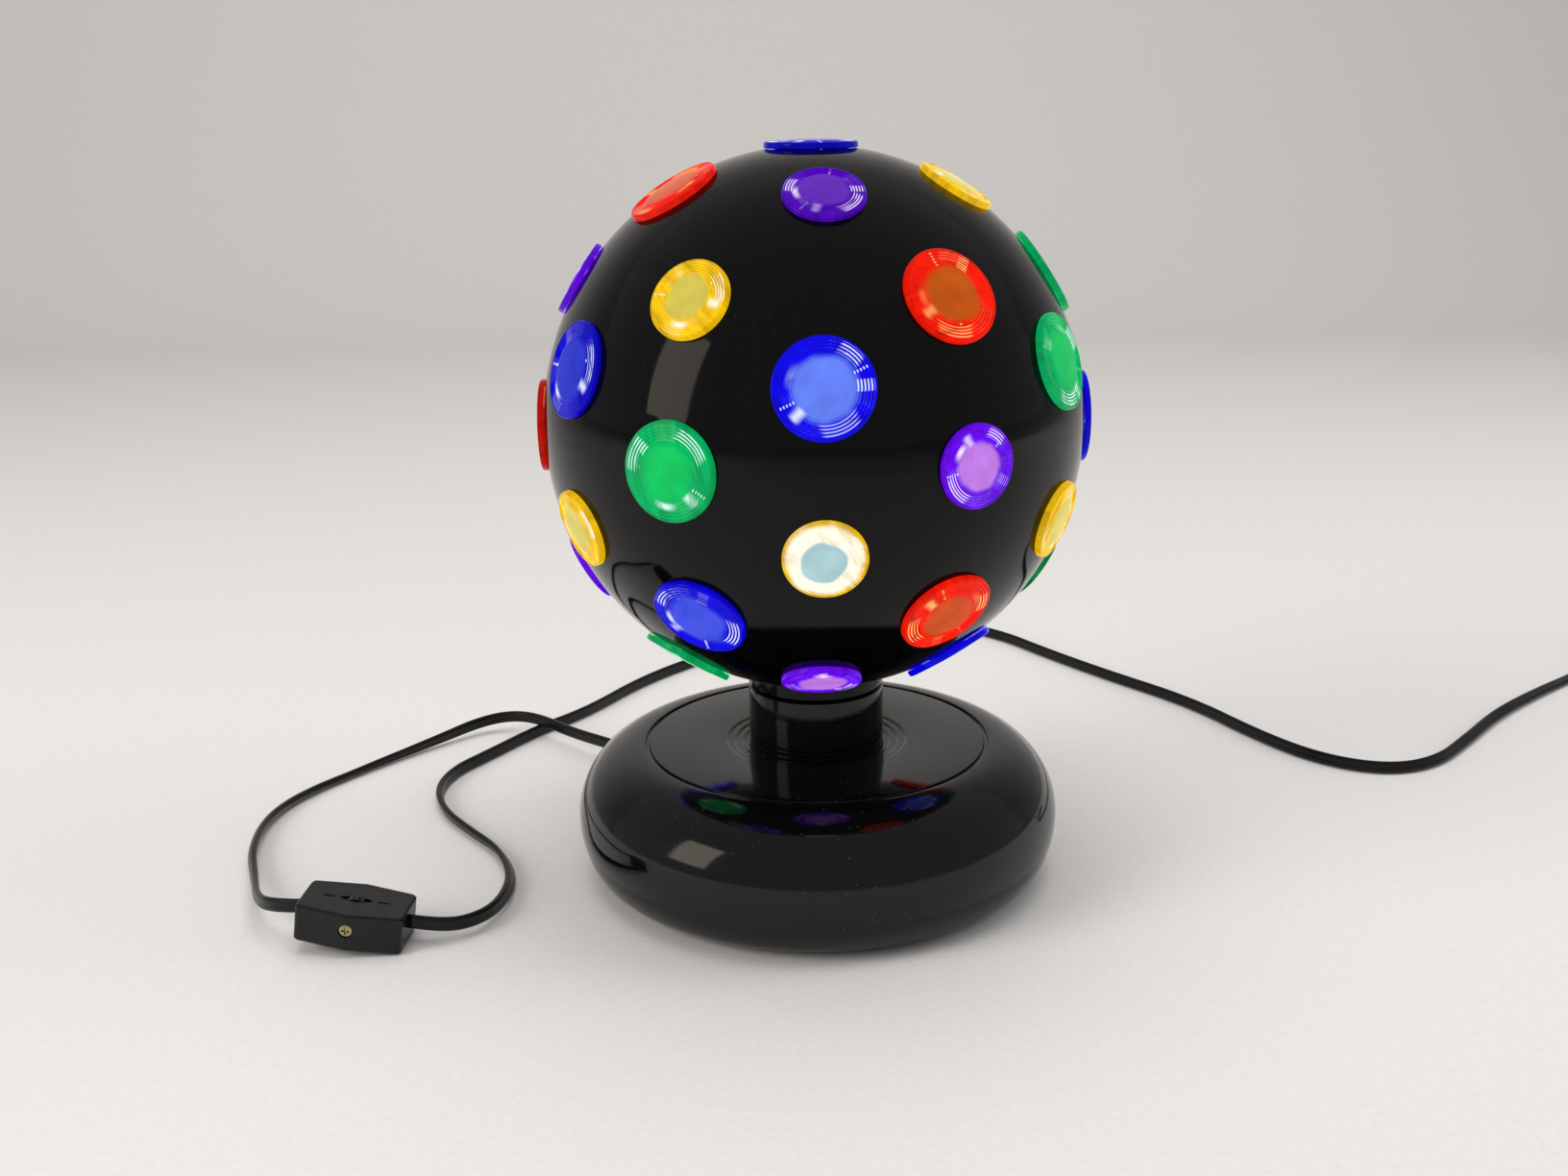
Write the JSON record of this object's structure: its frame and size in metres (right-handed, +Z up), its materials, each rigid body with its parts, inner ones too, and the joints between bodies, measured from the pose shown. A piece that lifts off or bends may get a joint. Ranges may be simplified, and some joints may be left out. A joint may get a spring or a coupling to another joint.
{
  "type": "led disco ball light",
  "caption": "Table light with a motor-turned black ball set with coloured lens discs, on a short neck and a round base, with a flat mains lead and an in-line thumbwheel switch.",
  "frame": {"origin": "on the ball's turning axis at the level of the feet's undersides", "axes": "+Z up along the turning axis, -Y to the pictured front, +X to the right seen from the front"},
  "size_m": [0.724, 0.4172, 0.2849],
  "materials": {
    "ball_black": "glossy moulded black",
    "base_black": "glossy moulded black with fine scratches and dust",
    "lens_red": "clear tinted, fine rings",
    "lens_green": "clear tinted, fine rings",
    "lens_blue": "clear tinted, fine rings",
    "lens_yellow": "clear tinted, fine rings",
    "lens_purple": "clear tinted, fine rings",
    "foot_rubber": "matte",
    "cord_vinyl": "satin vinyl",
    "blade_brass": "stamped",
    "switch_black": "satin",
    "wheel_black": "smooth, notched rim",
    "screw_brass": "bright",
    "zinc_steel": "zinc plated",
    "motor_can": "drawn steel",
    "gear_white": "natural acetal",
    "bush_bronze": "sintered bronze",
    "heatsink_aluminium": "extruded",
    "board_white": "solder mask",
    "chip_yellow": "phosphor",
    "board_green": "solder mask",
    "transformer_yellow": "taped winding",
    "capacitor_black": "sleeved",
    "terminal_grey": "moulded",
    "lead_red": "vinyl"
  },
  "bodies": {
    "base": {"base_bottom_pan": "base_black", "base_screws": "zinc_steel", "base_top_cover": "base_black", "bearing_bush": "bush_bronze", "board_capacitor": "capacitor_black", "board_rectifier": "capacitor_black", "board_screws": "zinc_steel", "board_transformer": "transformer_yellow", "cord_coil": "cord_vinyl", "cord_strain_relief": "cord_vinyl", "cord_to_coil": "cord_vinyl", "cord_to_switch": "cord_vinyl", "driver_board": "board_green", "gear_motor": "motor_can", "lamp_heatsink": "heatsink_aluminium", "lamp_lead": "lead_red", "lamp_post": "zinc_steel", "led_boards": "board_white", "led_chips": "chip_yellow", "mains_lead_inside": "cord_vinyl", "motor_lead": "lead_red", "motor_screws": "zinc_steel", "neck_screws": "zinc_steel", "neck_tube": "base_black", "plug_blades": "blade_brass", "plug_body": "cord_vinyl", "post_nuts": "zinc_steel", "rubber_feet": "foot_rubber", "switch_back_half": "switch_black", "switch_contacts": "blade_brass", "switch_front_half": "switch_black", "switch_nut": "screw_brass", "switch_screw": "screw_brass", "terminal_block": "terminal_grey"},
    "ball": {"ball_upper_shell": "ball_black", "ball_lower_shell": "ball_black", "lenses_red": "lens_red", "lenses_green": "lens_green", "lenses_blue": "lens_blue", "lenses_yellow": "lens_yellow", "lenses_purple": "lens_purple", "ball_spindle": "gear_white", "spindle_screws": "zinc_steel", "driven_gear": "gear_white", "gear_clip": "zinc_steel"},
    "motor_pinion": {"motor_shaft": "zinc_steel", "drive_pinion": "gear_white"},
    "thumbwheel": {"switch_thumbwheel": "wheel_black"}
  },
  "joints": [
    {"name": "ball_spin", "type": "hinge", "parent": "base", "child": "ball", "pos_m": [0, 0, 0.0693], "axis": [0, 0, 1], "continuous": true},
    {"name": "pinion_spin", "type": "hinge", "parent": "base", "child": "motor_pinion", "pos_m": [0.01472, 0.0085, 0.0612], "axis": [0, 0, 1], "continuous": true},
    {"name": "thumbwheel_turn", "type": "hinge", "parent": "base", "child": "thumbwheel", "pos_m": [-0.17239, -0.06651, 0.01076], "axis": [0.0698, 0.9976, 0], "continuous": true}
  ],
  "couplings": [
    {"joint": "pinion_spin", "follows": "ball_spin", "ratio": -2.4}
  ]
}
